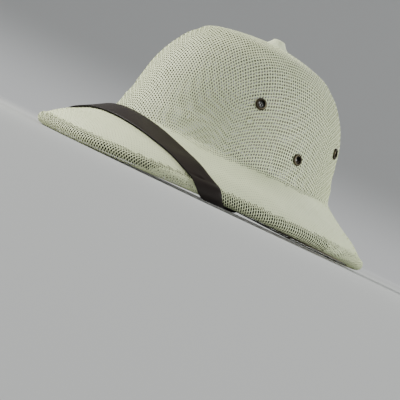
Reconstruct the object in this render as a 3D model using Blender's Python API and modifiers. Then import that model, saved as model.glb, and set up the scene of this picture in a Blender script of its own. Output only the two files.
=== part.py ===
"""A pith helmet: a shell of woven straw with a rolled rim, a cloth-covered button on top, a lining
under the brim, six brass air eyelets and a leather chin strap laid over the front of the brim.

Metres, +Z up. The front is -Y, the wearer's left is +X, and the origin is on the floor, under the
middle of the rim. An angle round the hat, called turn, is measured from the front towards +X.
"""

import math

import bmesh
import bpy
import numpy as np
from mathutils import Vector

# Rim: an oval a little fuller than an ellipse, that rests on a flat arc in front and one behind
RIM_HALF_LENGTH = 0.1587
RIM_HALF_WIDTH = 0.1381
RIM_FULLNESS = 0.955
RIM_SIDE_LIFT = 0.0045
RESTING_ARC = math.radians(15)
ROLL_RADIUS = 0.005
HEM_WIDTH = 0.007

# Crown: its foot is the oval where it meets the brim
CROWN_HALF_LENGTH = 0.1082
CROWN_HALF_WIDTH = 0.0880
CROWN_SETBACK = 0.0036
CROWN_HEIGHT = 0.1062
FOOT_HEIGHT = 0.0412
FOOT_SIDE_LIFT = 0.0016

WALL = 0.0018
CLEARANCE = 0.0004

# The crown's sections. height is a share of CROWN_HEIGHT, width a share of the foot's size, and
# back is how far the section's middle lies behind the foot's. A moulded step runs round at 0.15.
CROWN_COLUMNS = ("height", "width", "back")
CROWN_SECTIONS = (
    (0.000, 1.000, 0.0000),
    (0.050, 0.984, 0.0000),
    (0.130, 0.965, 0.0000),
    (0.165, 0.950, 0.0000),
    (0.300, 0.921, 0.0000),
    (0.500, 0.871, 0.0000),
    (0.680, 0.776, -0.0008),
    (0.820, 0.652, -0.0022),
    (0.920, 0.475, -0.0034),
    (0.975, 0.200, -0.0012),
    (1.000, 0.000, 0.0010),
)

# The brim from the crown's foot to the top of the roll: how far it swells above a straight slope
BRIM_COLUMNS = ("reach", "swell")
BRIM_SECTIONS = (
    (0.00, 0.0000),
    (0.25, 0.0000),
    (0.50, 0.0006),
    (0.75, 0.0019),
    (0.90, 0.0013),
    (1.00, 0.0000),
)

# The rings that are lofted, and the number of corners in each
RING_CORNERS = 60
CROWN_RINGS = (0.975, 0.93, 0.87, 0.79, 0.7, 0.6, 0.5, 0.4, 0.3, 0.22, 0.165, 0.13, 0.05, 0.0)
BRIM_RINGS = (0.25, 0.5, 0.75, 0.9)
ROLL_RINGS = tuple(math.radians(a) for a in (90, 62, 35, 10, -15, -40, -65, -90))

# Lining: tucked over the hem inside the roll, and up to the crown's foot
LINING = 0.0010
LINING_TUCK = 0.003
LINING_BEND = 0.008
LINING_INSET = 0.0012
LINING_DROP = 0.0030

# Button on the crown's top
BUTTON_BACK = 0.0018
BUTTON_FLARE_RADIUS = 0.0104
BUTTON_NECK_RADIUS = 0.0068
BUTTON_TOP_RADIUS = 0.0048
BUTTON_HEIGHT = 0.0050
BUTTON_CORNERS = 24

# Eyelets: (name, turn in degrees, share of the crown's height)
EYELETS = (
    ("front", 64.0, 0.454),
    ("side", 94.0, 0.193),
    ("back", 127.0, 0.395),
)
EYELET_HOLE_RADIUS = 0.0025
EYELET_BARREL_RADIUS = 0.0031
EYELET_FLANGE_RADIUS = 0.0050
EYELET_FLANGE = 0.0011
EYELET_BACK_FLANGE = 0.0007
EYELET_BACK_CLEARANCE = 0.0006
EYELET_CORNERS = 12

# Chin strap: laid over the front of the brim, round the rim and back underneath to each temple.
# Its middle line on the brim's top, in plan
STRAP_COLUMNS = ("side", "ahead")
STRAP_TOP = (
    (-0.025, 0.1110),
    (0.000, 0.1128),
    (0.025, 0.1110),
    (0.050, 0.1063),
    (0.075, 0.1004),
    (0.100, 0.0934),
    (0.125, 0.0853),
    (0.150, 0.0762),
)
STRAP_WIDTH = 0.0180
STRAP_THICKNESS = 0.0016
STRAP_CLEARANCE = 0.00045
STRAP_REAR_LEAN = 0.65
STRAP_FRONT_LEAN = 1.05
STRAP_HEM = 0.0073
STRAP_SLACK = 0.0010
STRAP_END_TURN = math.radians(87)
STRAP_END_REACH = 0.0125
STRAP_END_SLOPE = 0.80
STRAP_STEP = 0.005
STRAP_TOP_ROWS = 18
STRAP_ROLL_ROWS = 9
STRAP_UNDER_ROWS = 8
STRAP_ACROSS = 4

# Rivet that fastens each end of the strap to the lining
RIVET_TURN = math.radians(83.5)
RIVET_REACH = 0.0125
RIVET_GRIP = 0.0034
RIVET_HEAD_RADIUS = 0.0035
RIVET_PIN_RADIUS = 0.0014
RIVET_TAIL_RADIUS = 0.0027
RIVET_TAIL = 0.0006

COLOURS = {
    # name: (red, green, blue, roughness, metallic)
    "woven_straw": (0.80, 0.80, 0.74, 0.85, 0.0),
    "lining_cloth": (0.66, 0.60, 0.48, 0.90, 0.0),
    "dark_leather": (0.045, 0.032, 0.026, 0.45, 0.0),
    "aged_brass": (0.30, 0.22, 0.12, 0.38, 1.0),
}


# ---------------------------------------------------------------- scene


def clear_scene():
    for thing in list(bpy.data.objects):
        bpy.data.objects.remove(thing)


def new_collection(name):
    group = bpy.data.collections.new(name)
    bpy.context.scene.collection.children.link(group)
    return group


def new_material(name):
    red, green, blue, roughness, metallic = COLOURS[name]
    material = bpy.data.materials.new(name)
    material.use_nodes = True
    shader = material.node_tree.nodes["Principled BSDF"]
    shader.inputs["Base Color"].default_value = (red, green, blue, 1.0)
    shader.inputs["Roughness"].default_value = roughness
    shader.inputs["Metallic"].default_value = metallic
    return material


def new_object(name, mesh, group, material=None):
    thing = bpy.data.objects.new(name, mesh)
    group.objects.link(thing)
    if material is not None and not mesh.materials:
        mesh.materials.append(material)
    return thing


def loft(name, rings, closed, tip=None):
    """A mesh of quads between rings of points that have the same count. closed joins the last
    point of a ring to its first, and tip is a point that closes the first ring."""
    shape = bmesh.new()
    rows = [[shape.verts.new(Vector(point)) for point in ring] for ring in rings]
    count = len(rows[0])
    for row, below in zip(rows[:-1], rows[1:]):
        for i in range(count if closed else count - 1):
            j = (i + 1) % count
            shape.faces.new((row[i], below[i], below[j], row[j]))
    if tip is not None:
        point = shape.verts.new(Vector(tip))
        for i in range(count):
            shape.faces.new((point, rows[0][i], rows[0][(i + 1) % count]))
    mesh = bpy.data.meshes.new(name)
    shape.to_mesh(mesh)
    shape.free()
    mesh.shade_smooth()
    mesh.set_sharp_from_angle(angle=math.radians(35))
    return mesh


def thicken(thing, thickness, outward, even=True):
    wall = thing.modifiers.new("wall", "SOLIDIFY")
    wall.thickness = thickness
    wall.offset = 1.0 if outward else -1.0
    wall.use_even_offset = even


# ---------------------------------------------------------------- the hat's form


def smooth(table, column, at):
    """The table's column at that value of its first column, as a smooth curve through its rows."""
    rows = np.array(table)
    keys, values = rows[:, 0], rows[:, column]
    slopes = np.gradient(values, keys)
    i = int(np.clip(np.searchsorted(keys, at) - 1, 0, len(keys) - 2))
    span = keys[i + 1] - keys[i]
    s = (at - keys[i]) / span
    return float(
        values[i] * (1 + 2 * s) * (1 - s) ** 2
        + values[i + 1] * s * s * (3 - 2 * s)
        + slopes[i] * span * s * (1 - s) ** 2
        - slopes[i + 1] * span * s * s * (1 - s)
    )


def crown_point(height, turn):
    """On the outside of the crown, at that share of its height."""
    width = smooth(CROWN_SECTIONS, CROWN_COLUMNS.index("width"), height)
    back = smooth(CROWN_SECTIONS, CROWN_COLUMNS.index("back"), height)
    lift = FOOT_SIDE_LIFT * math.sin(turn) ** 2 * (1 - height)
    return np.array(
        (
            CROWN_HALF_WIDTH * width * math.sin(turn),
            CROWN_SETBACK + back - CROWN_HALF_LENGTH * width * math.cos(turn),
            FOOT_HEIGHT + lift + CROWN_HEIGHT * height,
        )
    )


def crown_normal(height, turn):
    step = 0.01
    up = crown_point(height + step, turn) - crown_point(height - step, turn)
    along = crown_point(height, turn + step) - crown_point(height, turn - step)
    normal = np.cross(along, up)
    return normal / np.linalg.norm(normal)


def fuller(value):
    """A sine or cosine with its magnitude raised, which makes an ellipse a little squarer."""
    return math.copysign(abs(value) ** RIM_FULLNESS, value)


def rim_lift(turn):
    """How far the rim's lowest line is off the floor: nothing on the resting arcs."""
    start = math.sin(RESTING_ARC) ** 2
    return RIM_SIDE_LIFT * max(0.0, (math.sin(turn) ** 2 - start) / (1 - start))


def roll_middle(turn):
    return np.array(
        (
            (RIM_HALF_WIDTH - ROLL_RADIUS) * fuller(math.sin(turn)),
            -(RIM_HALF_LENGTH - ROLL_RADIUS) * fuller(math.cos(turn)),
            ROLL_RADIUS + rim_lift(turn),
        )
    )


def outward(turn):
    """(the level direction from the crown's foot to the roll, the distance between them)."""
    across = roll_middle(turn) - crown_point(0, turn)
    across[2] = 0
    distance = np.linalg.norm(across)
    return across / distance, distance


def on_section(turn, reach, height):
    """The point of this section that lies reach outside the crown's foot, at that height."""
    point = crown_point(0, turn) + outward(turn)[0] * reach
    point[2] = height
    return point


def brim_point(share, turn):
    foot, roll = crown_point(0, turn), roll_middle(turn)
    swell = smooth(BRIM_SECTIONS, BRIM_COLUMNS.index("swell"), share)
    height = foot[2] * (1 - share) + (roll[2] + ROLL_RADIUS) * share + swell
    return on_section(turn, outward(turn)[1] * share, height)


def roll_point(angle, turn):
    roll, reach = roll_middle(turn), outward(turn)[1]
    across, up = ROLL_RADIUS * math.cos(angle), ROLL_RADIUS * math.sin(angle)
    return on_section(turn, reach + across, roll[2] + up)


def hem_point(turn):
    """The inner edge of the hem, which runs level from the bottom of the roll."""
    return on_section(turn, outward(turn)[1] - HEM_WIDTH, rim_lift(turn))


def turns():
    """Half a step off the front, so that a flat face, and no edge, lies on the middle plane."""
    return [2 * math.pi * (i + 0.5) / RING_CORNERS for i in range(RING_CORNERS)]


# ---------------------------------------------------------------- shell, lining and button


def make_shell(group, material):
    rings = [[crown_point(height, turn) for turn in turns()] for height in CROWN_RINGS]
    rings += [[brim_point(share, turn) for turn in turns()] for share in BRIM_RINGS]
    rings += [[roll_point(angle, turn) for turn in turns()] for angle in ROLL_RINGS]
    rings.append([hem_point(turn) for turn in turns()])
    mesh = loft("shell", rings, closed=True, tip=crown_point(1.0, 0.0))
    shell = new_object("shell", mesh, group, material)
    thicken(shell, WALL, outward=False)
    return shell


def lining_sections(turn):
    """The lining's underside, from its edge over the hem to the crown's foot."""
    lift, reach = rim_lift(turn), outward(turn)[1]
    over_hem = lift + WALL + CLEARANCE
    foot = crown_point(0, turn)[2]
    return [
        on_section(turn, reach - LINING_TUCK, over_hem),
        on_section(turn, reach - LINING_BEND, over_hem),
        on_section(turn, reach * 0.4, over_hem * 0.46 + (foot - LINING_DROP) * 0.54),
        on_section(turn, -LINING_INSET, foot - LINING_DROP),
    ]


def make_lining(group, material):
    sections = [lining_sections(turn) for turn in turns()]
    rings = [list(ring) for ring in zip(*sections)]
    lining = new_object("brim_lining", loft("brim_lining", rings, closed=True), group, material)
    thicken(lining, LINING, outward=False)
    return lining


def outline(name, profile, closed):
    """A mesh of edges in the plane of X and Z for a Screw to turn, from (radius, height) pairs
    that run down the outer side."""
    shape = bmesh.new()
    points = [shape.verts.new((radius, 0, height)) for radius, height in profile]
    pairs = list(zip(points[:-1], points[1:]))
    if closed:
        pairs.append((points[-1], points[0]))
    for pair in pairs:
        shape.edges.new(pair)
    mesh = bpy.data.meshes.new(name)
    shape.to_mesh(mesh)
    shape.free()
    return mesh


def spin(thing, corners):
    screw = thing.modifiers.new("turn", "SCREW")
    screw.steps = screw.render_steps = corners
    screw.use_merge_vertices = True
    screw.merge_threshold = 0.00001
    screw.use_smooth_shade = True


def button_profile():
    """The covered button, from its crest down its flared side and back under it to the middle."""
    lip = 0.0005
    seat_fall = 0.0010
    flank = [
        (BUTTON_TOP_RADIUS, -0.0004),
        (BUTTON_NECK_RADIUS, -0.0014),
        (BUTTON_NECK_RADIUS + 0.0006, -0.0030),
        (BUTTON_NECK_RADIUS + 0.0015, -0.0042),
        (BUTTON_FLARE_RADIUS, lip - seat_fall - BUTTON_HEIGHT),
        (BUTTON_FLARE_RADIUS, -seat_fall - BUTTON_HEIGHT),
        (BUTTON_FLARE_RADIUS / 2, -seat_fall / 2 - BUTTON_HEIGHT),
    ]
    return [(0.0, 0.0), *flank, (0.0, -BUTTON_HEIGHT)]


def make_button(group, material):
    mesh = outline("top_button", button_profile(), closed=False)
    button = new_object("top_button", mesh, group, material)
    spin(button, BUTTON_CORNERS)
    crest = FOOT_HEIGHT + CROWN_HEIGHT + CLEARANCE + BUTTON_HEIGHT
    button.location = (0, CROWN_SETBACK + BUTTON_BACK, crest)
    return button


# ---------------------------------------------------------------- eyelets


def eyelet_profile():
    """A barrel through the wall between a rounded flange outside and a thin one inside. Height 0
    is the outside of the wall."""
    front = CLEARANCE
    crest = front + EYELET_FLANGE
    back = -WALL - EYELET_BACK_CLEARANCE
    tail = back - EYELET_BACK_FLANGE
    middle = (EYELET_HOLE_RADIUS + EYELET_FLANGE_RADIUS) / 2
    return [
        (EYELET_HOLE_RADIUS, front),
        (EYELET_HOLE_RADIUS + 0.0004, crest - 0.0003),
        (middle, crest),
        (EYELET_FLANGE_RADIUS - 0.0005, crest - 0.0003),
        (EYELET_FLANGE_RADIUS, front + 0.0003),
        (EYELET_FLANGE_RADIUS - 0.0001, front),
        (EYELET_BARREL_RADIUS, front),
        (EYELET_BARREL_RADIUS, back),
        (EYELET_FLANGE_RADIUS - 0.0006, back),
        (EYELET_FLANGE_RADIUS - 0.0006, tail),
        (EYELET_HOLE_RADIUS, tail),
    ]


def make_eyelets(group, cutters, shell, material):
    mesh = outline("eyelet", eyelet_profile(), closed=True)
    for place, degrees, height in EYELETS:
        for side, sign in (("left", 1), ("right", -1)):
            turn = math.radians(degrees) * sign
            point = Vector(crown_point(height, turn))
            facing = Vector(crown_normal(height, turn)).to_track_quat("Z", "Y")
            eyelet = new_object(f"eyelet_{side}_{place}", mesh, group, material)
            spin(eyelet, EYELET_CORNERS)
            eyelet.location = point
            eyelet.rotation_mode = "QUATERNION"
            eyelet.rotation_quaternion = facing
            hole = EYELET_BARREL_RADIUS + CLEARANCE
            cut(shell, make_cutter(f"hole_{side}_{place}", cutters, hole, point, facing))


def make_cutter(name, cutters, radius, point, facing):
    """A cylinder through the walls at that point, its axis along the facing."""
    bpy.ops.mesh.primitive_cylinder_add(
        vertices=EYELET_CORNERS,
        radius=radius,
        depth=8 * WALL,
        location=point,
        rotation=facing.to_euler(),
    )
    cutter = bpy.context.active_object
    cutter.name = name
    for owner in list(cutter.users_collection):
        owner.objects.unlink(cutter)
    cutters.objects.link(cutter)
    cutter.hide_render = True
    cutter.display_type = "WIRE"
    return cutter


def cut(thing, cutter):
    hole = thing.modifiers.new(cutter.name, "BOOLEAN")
    hole.operation = "DIFFERENCE"
    hole.object = cutter


# ---------------------------------------------------------------- chin strap


def find_place(across, ahead):
    """(turn, reach) of the section point at x = across, y = -ahead, outside the crown's foot."""
    spot = np.array((across, -ahead, 0.0))

    def miss(turn):
        line = outward(turn)[0]
        away = spot - crown_point(0, turn)
        return line[0] * away[1] - line[1] * away[0]

    turn = math.atan2(across, ahead)
    for _ in range(6):
        slope = (miss(turn + 0.001) - miss(turn - 0.001)) / 0.002
        turn -= miss(turn) / slope
    line, _ = outward(turn)
    return turn, float((spot - crown_point(0, turn)) @ line)


def top_height(across, ahead):
    """The height of the strap's underside where it lies on the top of the brim."""
    turn, reach = find_place(across, ahead)
    share = min(max(reach / outward(turn)[1], 0.0), 1.0)
    return brim_point(share, turn)[2] + STRAP_CLEARANCE * 1.15


def under_height(turn, reach):
    """The height of the strap's upper side where it lies under the hem and the lining."""
    edge = outward(turn)[1]
    _, _, middle, foot = lining_sections(turn)
    level = rim_lift(turn)
    reaches = (-LINING_INSET, edge * 0.4, edge - STRAP_HEM, edge)
    heights = (foot[2], middle[2] - STRAP_SLACK, level, level)
    steep = 1.0 if reach >= edge - STRAP_HEM else 1.35
    return float(np.interp(reach, reaches, heights)) - STRAP_CLEARANCE * steep


def top_line(offset):
    """The strap's line at that distance from its middle line, from the middle of the front to
    where it passes the top of the roll, as a list of points, and the turn of the last."""
    points = []
    for side in np.arange(0.0, 0.150, STRAP_STEP / 2):
        ahead = smooth(STRAP_TOP, STRAP_COLUMNS.index("ahead"), side)
        slope = smooth(STRAP_TOP, STRAP_COLUMNS.index("ahead"), side + 0.001) - ahead
        sideways = np.array((-slope, 0.001)) / math.hypot(slope, 0.001)
        spot = np.array((side, ahead))
        for _ in range(4):
            rise = top_height(*(spot + sideways * offset / 4)) - top_height(*spot)
            spot = spot + sideways * offset / 4 * math.cos(math.atan2(rise, abs(offset / 4) + 1e-9))
        turn, reach = find_place(*spot)
        edge = outward(turn)[1]
        points.append((spot[0], -spot[1], top_height(*spot)))
        if reach > edge:
            return points[:-1], turn
    raise ValueError("the strap's line never reaches the rim")


def resample(points, count):
    points = np.array(points)
    steps = np.linalg.norm(np.diff(points, axis=0), axis=1)
    along = np.concatenate([[0.0], np.cumsum(steps)])
    places = np.linspace(0, along[-1], count)
    return np.stack([np.interp(places, along, points[:, i]) for i in range(3)], axis=1)


def roll_line(turn, lean):
    """Round the roll from top to bottom, moving along the rim at that lean."""
    radius = ROLL_RADIUS + STRAP_CLEARANCE
    advance = math.pi * radius * lean / RIM_HALF_WIDTH
    points = []
    for share in np.linspace(0, 1, STRAP_ROLL_ROWS):
        spot = turn + advance * share
        angle = math.pi / 2 - math.pi * share
        roll, reach = roll_middle(spot), outward(spot)[1]
        point = on_section(spot, reach + radius * math.cos(angle), 0)
        point[2] = roll[2] + radius * math.sin(angle)
        points.append(point)
    return points


def under_line(start, end_reach):
    """From the bottom of the roll, straight in plan, to the strap's end by the temple."""
    end = on_section(STRAP_END_TURN, end_reach, 0)

    def at(share):
        spot = start + (end - start) * share
        turn, reach = find_place(spot[0], -spot[1])
        return turn, reach, outward(turn)[1]

    low, high = 0.0, 0.6
    for _ in range(20):
        middle = (low + high) / 2
        _, reach, edge = at(middle)
        if reach > edge - STRAP_HEM:
            low = middle
        else:
            high = middle
    points = []
    for share in (low * 0.5, *np.linspace(low, 1.0, STRAP_UNDER_ROWS)):
        turn, reach, _ = at(share)
        points.append((*(start + (end - start) * share)[:2], under_height(turn, reach)))
    return points


def strap_lines():
    """Lines along the strap, from its outer edge to its inner one, on the wearer's left."""
    lines = []
    for share in np.linspace(0.5, -0.5, STRAP_ACROSS + 1):
        top, turn = top_line(STRAP_WIDTH * share)
        lean = STRAP_REAR_LEAN + (STRAP_FRONT_LEAN - STRAP_REAR_LEAN) * (share + 0.5)
        roll = roll_line(turn, lean)
        end_reach = STRAP_END_REACH - STRAP_WIDTH * share * STRAP_END_SLOPE
        under = under_line(np.array(roll[-1]), end_reach)
        lines.append([*resample([*top, roll[0]], STRAP_TOP_ROWS)[:-1], *roll, *under])
    return lines


def make_strap(group, material):
    left = [list(row) for row in zip(*strap_lines())]
    right = [[np.array(point) * (-1, 1, 1) for point in row] for row in left[:0:-1]]
    mesh = loft("chin_strap", right + left, closed=False)
    strap = new_object("chin_strap", mesh, group, material)
    thicken(strap, STRAP_THICKNESS, outward=True, even=False)
    return strap


def rivet_seat(turn):
    """(point on the lining's underside, the direction straight down from it) at the rivet."""
    _, _, middle, foot = lining_sections(turn)
    rise = foot - middle
    run = outward(turn)[1] * 0.4 + LINING_INSET
    point = foot - rise * (RIVET_REACH + LINING_INSET) / run
    across = outward(turn)[0]
    down = np.array((0, 0, across @ rise)) - across * rise[2]
    return Vector(point), Vector(down / np.linalg.norm(down))


def rivet_profile():
    """The head under the strap, the pin and the tail over the lining. Height is measured down
    from the lining's underside."""
    head = RIVET_GRIP
    return [
        (0.0, head + 0.0013),
        (RIVET_HEAD_RADIUS * 0.6, head + 0.0011),
        (RIVET_HEAD_RADIUS * 0.95, head + 0.0005),
        (RIVET_HEAD_RADIUS, head),
        (RIVET_PIN_RADIUS, head),
        (RIVET_PIN_RADIUS, -LINING - CLEARANCE),
        (RIVET_TAIL_RADIUS, -LINING - CLEARANCE),
        (RIVET_TAIL_RADIUS, -LINING - CLEARANCE - RIVET_TAIL),
        (0.0, -LINING - CLEARANCE - RIVET_TAIL),
    ]


def make_rivets(group, cutters, holders, material):
    mesh = outline("strap_rivet", rivet_profile(), closed=False)
    for side, sign in (("left", 1), ("right", -1)):
        point, down = rivet_seat(RIVET_TURN * sign)
        facing = down.to_track_quat("Z", "Y")
        rivet = new_object(f"strap_rivet_{side}", mesh, group, material)
        spin(rivet, EYELET_CORNERS)
        rivet.location = point
        rivet.rotation_mode = "QUATERNION"
        rivet.rotation_quaternion = facing
        radius = RIVET_PIN_RADIUS + CLEARANCE
        cutter = make_cutter(f"rivet_hole_{side}", cutters, radius, point, facing)
        for holder in holders:
            cut(holder, cutter)


def main():
    clear_scene()
    parts = new_collection("pith_helmet")
    cutters = new_collection("cutters")
    materials = {name: new_material(name) for name in COLOURS}
    shell = make_shell(parts, materials["woven_straw"])
    make_button(parts, materials["woven_straw"])
    lining = make_lining(parts, materials["lining_cloth"])
    make_eyelets(parts, cutters, shell, materials["aged_brass"])
    strap = make_strap(parts, materials["dark_leather"])
    make_rivets(parts, cutters, (lining, strap), materials["aged_brass"])


main()
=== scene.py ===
"""A pith helmet of white woven straw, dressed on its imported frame.

Metres, +Z up. The front is -Y and the wearer's left is +X. An angle round the hat, called turn, is
measured from the front towards +X, and reach is the level distance outside the crown's foot.
"""

import math

import bpy
import numpy as np
from mathutils import Matrix, Vector


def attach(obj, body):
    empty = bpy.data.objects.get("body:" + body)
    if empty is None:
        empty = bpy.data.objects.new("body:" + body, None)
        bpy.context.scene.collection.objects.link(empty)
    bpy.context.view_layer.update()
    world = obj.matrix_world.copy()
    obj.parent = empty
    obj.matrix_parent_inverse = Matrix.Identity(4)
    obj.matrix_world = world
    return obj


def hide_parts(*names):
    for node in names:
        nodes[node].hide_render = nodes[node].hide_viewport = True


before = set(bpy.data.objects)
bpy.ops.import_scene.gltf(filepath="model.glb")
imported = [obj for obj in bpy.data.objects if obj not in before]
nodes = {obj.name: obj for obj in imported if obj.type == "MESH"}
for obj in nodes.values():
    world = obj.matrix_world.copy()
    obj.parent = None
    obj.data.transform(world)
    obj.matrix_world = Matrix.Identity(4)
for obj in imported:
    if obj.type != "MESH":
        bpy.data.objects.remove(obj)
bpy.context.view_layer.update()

# ---------------------------------------------------------------- sizes, as the frame has them

RIM_HALF_LENGTH, RIM_HALF_WIDTH, RIM_FULLNESS = 0.1587, 0.1381, 0.955
RIM_SIDE_LIFT, RESTING_ARC = 0.0045, math.radians(15)
ROLL_RADIUS, HEM_WIDTH = 0.005, 0.007
CROWN_HALF_LENGTH, CROWN_HALF_WIDTH, CROWN_SETBACK = 0.1082, 0.0880, 0.0036
CROWN_HEIGHT, FOOT_HEIGHT, FOOT_SIDE_LIFT = 0.1062, 0.0412, 0.0016
WALL = 0.0018

# (height as a share of the crown's, width as a share of its foot's, setback of the section)
CROWN_SECTIONS = (
    (0.000, 1.000, 0.0000),
    (0.050, 0.984, 0.0000),
    (0.130, 0.965, 0.0000),
    (0.165, 0.950, 0.0000),
    (0.300, 0.921, 0.0000),
    (0.500, 0.871, 0.0000),
    (0.680, 0.776, -0.0008),
    (0.820, 0.652, -0.0022),
    (0.920, 0.475, -0.0034),
    (0.975, 0.200, -0.0012),
    (1.000, 0.000, 0.0010),
)

# (reach as a share of the way from the crown's foot to the roll, height above a cone)
BRIM_SECTIONS = (
    (0.00, 0.0000),
    (0.25, 0.0000),
    (0.50, 0.0006),
    (0.75, 0.0019),
    (0.90, 0.0013),
    (1.00, 0.0000),
)

# The strap's middle line on the brim's top, in plan: (to the side, ahead)
STRAP_TOP = (
    (-0.025, 0.1110),
    (0.000, 0.1128),
    (0.025, 0.1110),
    (0.050, 0.1063),
    (0.075, 0.1004),
    (0.100, 0.0934),
    (0.125, 0.0853),
    (0.150, 0.0762),
)
STRAP_WIDTH, STRAP_THICKNESS, STRAP_CLEARANCE = 0.0180, 0.0016, 0.00045
STRAP_REAR_LEAN, STRAP_FRONT_LEAN = 0.65, 1.05
STRAP_HEM, STRAP_SLACK = 0.0073, 0.0010
STRAP_END_TURN, STRAP_END_REACH, STRAP_END_SLOPE = math.radians(87), 0.0125, 0.80
STRAP_BEVEL = 0.0003

# The clearance is measured straight up, so it grows with the slope above and under the brim
SLOPE_OVER, SLOPE_UNDER = 1.15, 1.35

# Rows of the strap's grid across it, over the brim, round the roll and under the brim, and the
# first and last row of the stretch that spans the hollow before the roll
STRAP_ACROSS, STRAP_OVER, STRAP_ROUND, STRAP_UNDER = 8, 44, 19, 22
STRAP_BRIDGE = (36, 49)

LINING_TUCK, LINING_BEND, LINING_INSET, LINING_DROP = 0.003, 0.008, 0.0012, 0.0030
LINING_KNEE, LINING_KNEE_DROP = 0.4, 0.46
CLEARANCE = 0.0004
SHEET_THICKNESS = 0.0003

# (name, turn in degrees, height as a share of the crown's)
EYELETS = (("front", 64.0, 0.454), ("side", 94.0, 0.193), ("back", 127.0, 0.395))
EYELET_GAP, EYELET_GAP_DEPTH = 0.0030, 0.01

# (radius, height above the crown's surface)
EYELET_PROFILE = (
    (0.00250, 0.00020),
    (0.00256, 0.00075),
    (0.00275, 0.00115),
    (0.00310, 0.00140),
    (0.00345, 0.00148),
    (0.00375, 0.00140),
    (0.00400, 0.00122),
    (0.00430, 0.00118),
    (0.00465, 0.00100),
    (0.00490, 0.00065),
    (0.00500, 0.00030),
    (0.00480, 0.00025),
    (0.00310, 0.00025),
    (0.00310, -0.00235),
    (0.00430, -0.00240),
    (0.00440, -0.00300),
    (0.00300, -0.00310),
    (0.00255, -0.00280),
)

# How far out the barrel and the lip's inner slope are painted black as shade in the hole, how far
# out the lip is worn, and from what heights
EYELET_BARREL, EYELET_DARK, EYELET_WORN = 0.00262, 0.00330, 0.00400
EYELET_SEAT, EYELET_LIP = 0.0002, 0.0009

BUTTON_BACK, BUTTON_RISE = 0.0018, 0.005
PLEATS, PLEAT_DEPTH, PLEAT_START, PLEAT_FADE = 14, 0.012, 0.0045, 0.003
SKIRT_START, SKIRT_FADE, SKIRT_LIFT, SKIRT_SINK = 0.0068, 0.0045, 0.0002, 0.0010

# (radius, height above the button's crest)
BUTTON_PROFILE = (
    (0.0006, 0.00000),
    (0.0024, -0.00006),
    (0.0040, -0.00030),
    (0.0050, -0.00075),
    (0.0056, -0.00140),
    (0.0061, -0.00225),
    (0.0068, -0.00325),
    (0.0079, -0.00430),
    (0.0094, -0.00530),
    (0.0108, -0.00610),
    (0.0116, -0.00680),
)

# How far apart the strands lie, across the hat and from front to back
PITCH_ACROSS, PITCH_AHEAD = 0.00275, 0.00235

# (width of the strands that run down the hat, width of those that run round it, how much of it
# they keep where the net leans, half the height of their wave), the widths as shares of the pitch
OPEN_WEAVE = (0.40, 0.32, 0.40, 0.00008)
CLOSE_WEAVE = (0.80, 0.76, 0.0, 0.00003)
RIM_WEAVE = (0.34, 0.13, 0.0, 0.00008)
STRAND_THICKNESS, WEAVE_DEPTH, BRIM_SINK = 0.00046, 0.00042, 0.00006
WIDEST_HALF, NET_MARGIN = 0.47, 1.04

# One weave laps over the next by a share of the pitch, and the rim's starts above the roll
LAP, ROLL_START, HEM_OVERRUN = 0.6 * PITCH_ACROSS, 0.0022, 0.0005

# The cloth is drawn in round the button
GATHER, GATHER_REACH = 0.22, 0.045

# The stiff backing starts on the brim below the crown's foot: (turn in degrees, how far below)
BACKING_START = (
    (0, 0.0010),
    (24, 0.0018),
    (36, 0.0058),
    (50, 0.0108),
    (60, 0.0098),
    (72, 0.0066),
    (100, 0.0062),
    (115, 0.0030),
    (140, 0.0015),
    (180, 0.0015),
)
BACKING_DEPTH, BACKING_END = 0.00095, 0.004

# Dents and soft ridges that handling has left in the crown: (height as a share of the crown's,
# turn in degrees, how far it stands proud, spread)
RELIEF = (
    (0.580, 50, -0.0016, 0.010),
    (0.485, 53, 0.0008, 0.008),
    (0.740, 62, 0.0010, 0.009),
    (0.640, 67, 0.0009, 0.010),
    (0.660, 20, 0.0008, 0.014),
    (0.550, -62, -0.0011, 0.013),
    (0.700, -105, 0.0009, 0.012),
    (0.450, 158, -0.0009, 0.014),
    (0.620, 178, 0.0008, 0.013),
)

# The view: angles, distance from the aim, the lens and the aim's place in pixels of the picture
CAMERA_BEARING, CAMERA_HEIGHT, CAMERA_LEAN = map(math.radians, (52.567, -2.5, 25.412))
CAMERA_AIM, CAMERA_DISTANCE = (0, -0.00095, 0.060), 1.162
PICTURE_PIXELS, FOCAL_PIXELS, AIM_PIXEL = 400, 1345.7, (228.7, 135.05)
SENSOR_WIDTH = 36

FLOOR_RADIUS, FLOOR_DEPTH = 2.4, 0.0002
COVE_RADIUS, COVE_STEPS, COVE_DEGREES = 1.6, 12, 7

# ---------------------------------------------------------------- the hat's form


def smooth(table, column, at):
    """A column of the table at values of its first column, as a smooth curve through its rows."""
    rows = np.array(table)
    keys, values = rows[:, 0], rows[:, column]
    slopes = np.gradient(values, keys)
    at = np.asarray(at, float)
    i = np.clip(np.searchsorted(keys, at) - 1, 0, len(keys) - 2)
    span = keys[i + 1] - keys[i]
    s = (at - keys[i]) / span
    return (
        values[i] * (1 + 2 * s) * (1 - s) ** 2
        + values[i + 1] * s * s * (3 - 2 * s)
        + slopes[i] * span * s * (1 - s) ** 2
        - slopes[i + 1] * span * s * s * (1 - s)
    )


def point(x, y, z):
    return np.stack(np.broadcast_arrays(x, y, z), axis=-1).astype(float)


def crown_point(height, turn):
    width = smooth(CROWN_SECTIONS, 1, height)
    back = smooth(CROWN_SECTIONS, 2, height)
    lift = FOOT_SIDE_LIFT * np.sin(turn) ** 2 * (1 - height)
    return point(
        CROWN_HALF_WIDTH * width * np.sin(turn),
        CROWN_SETBACK + back - CROWN_HALF_LENGTH * width * np.cos(turn),
        FOOT_HEIGHT + lift + CROWN_HEIGHT * height,
    )


def fuller(value):
    return np.sign(value) * np.abs(value) ** RIM_FULLNESS


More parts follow.
